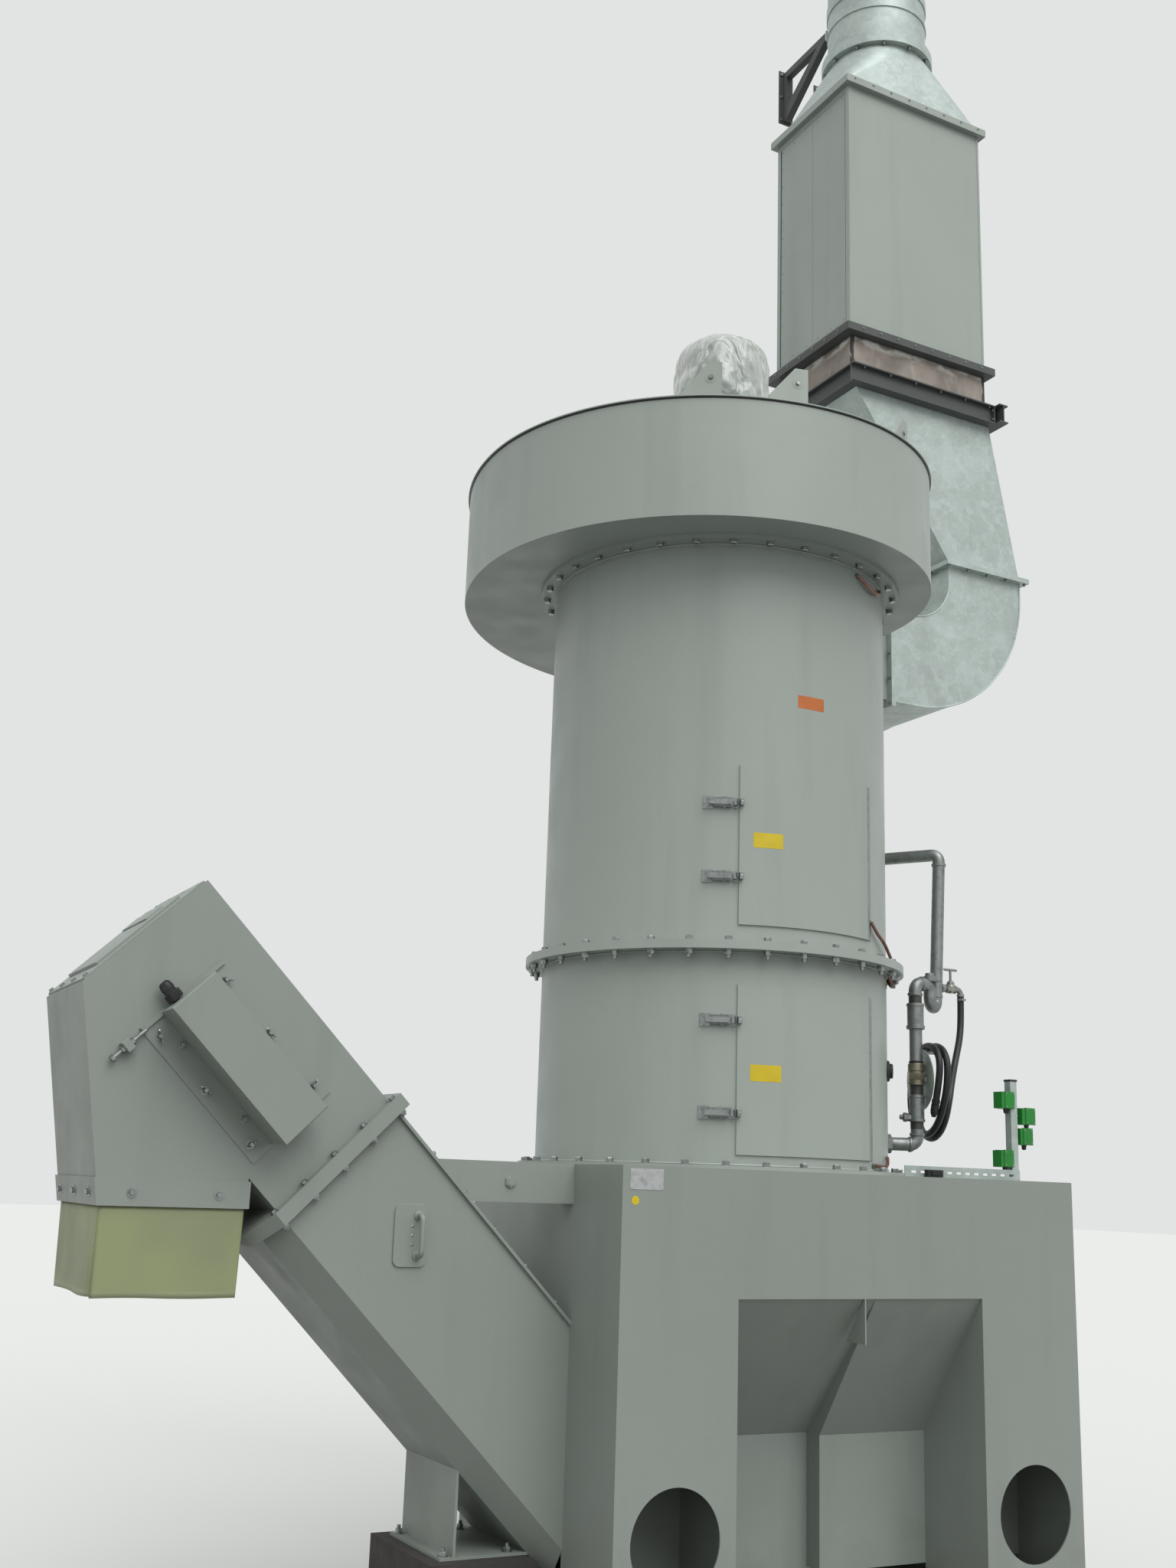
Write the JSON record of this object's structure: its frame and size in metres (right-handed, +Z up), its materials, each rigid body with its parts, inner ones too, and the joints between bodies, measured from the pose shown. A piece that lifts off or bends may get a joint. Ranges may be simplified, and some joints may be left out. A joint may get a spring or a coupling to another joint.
{
  "type": "wet dust collector",
  "caption": "Wet dust collector: tank on legs with scraper conveyor, washing tower with two doors, fan scroll, duct, silencer and stack.",
  "frame": {"origin": "on the floor below the tower's axis", "axes": "+Z up, +X to the right along the building wall seen from the front, +Y away from the viewer into the wall"},
  "size_m": [4.7058, 2.6, 8.3],
  "materials": {
    "grey_paint": "satin",
    "galvanised": "patchy zinc spangle",
    "dull_steel": "matt",
    "zinc": "plated",
    "film": "thin wrapping film",
    "joint_cloth": "coated cloth",
    "skirt_sheet": "soft, a little see-through",
    "green_plastic": "matt",
    "plinth": "rough",
    "black_rubber": "smooth"
  },
  "bodies": {
    "collector": {"cable_rail": "galvanised", "compensator": "joint_cloth", "conveyor_flange": "grey_paint", "conveyor_foot": "grey_paint", "conveyor_plinth": "plinth", "conveyor_trough": "grey_paint", "cutout_gusset": "grey_paint", "discharge_hood": "grey_paint", "discharge_skirt": "skirt_sheet", "door_hinges": "zinc", "door_latches": "zinc", "duct_elbow": "galvanised", "duct_transition": "galvanised", "fan_motor": "grey_paint", "frame_braces": "dull_steel", "frame_cross_beams": "dull_steel", "frame_left_beam": "dull_steel", "frame_right_beam": "dull_steel", "gas_inlet": "grey_paint", "hood_lid": "grey_paint", "hose_hanger": "galvanised", "leg_sides": "grey_paint", "lifting_lugs": "grey_paint", "motor_film": "film", "mouth_band": "grey_paint", "outlet_flange": "galvanised", "probe_boxes": "green_plastic", "probe_post": "galvanised", "scroll_cover": "grey_paint", "scroll_floor": "grey_paint", "scroll_wall": "grey_paint", "side_guard": "grey_paint", "silencer_base_ring": "dull_steel", "silencer_casing": "grey_paint", "silencer_top_ring": "grey_paint", "square_to_round": "galvanised", "stack_clamp": "galvanised", "stack_pipe": "galvanised", "sump_floor": "grey_paint", "sump_front": "grey_paint", "tank_back_wall": "grey_paint", "tank_bracket": "grey_paint", "tank_front_wall": "grey_paint", "tank_left_wall": "grey_paint", "tank_right_wall": "grey_paint", "tank_top": "grey_paint", "tower_base_flange": "grey_paint", "tower_head_flange": "grey_paint", "tower_lower": "grey_paint", "tower_lower_flange": "grey_paint", "tower_upper": "grey_paint", "tower_upper_flange": "grey_paint", "trough_cover": "grey_paint", "trough_handle": "grey_paint", "wall_consoles": "dull_steel", "water_hose": "black_rubber", "water_pipes": "galvanised", "water_tap": "zinc"},
    "lower_door": {"door_lower": "grey_paint"},
    "upper_door": {"door_upper": "grey_paint"}
  },
  "joints": [
    {"name": "lower_door_hinge", "type": "hinge", "parent": "collector", "child": "lower_door", "pos_m": [0.27944, -0.58664, 1.812], "axis": [0, 0, 1], "range_deg": [0, 110]},
    {"name": "upper_door_hinge", "type": "hinge", "parent": "collector", "child": "upper_door", "pos_m": [0.27944, -0.58664, 2.578], "axis": [0, 0, 1], "range_deg": [0, 110]}
  ]
}
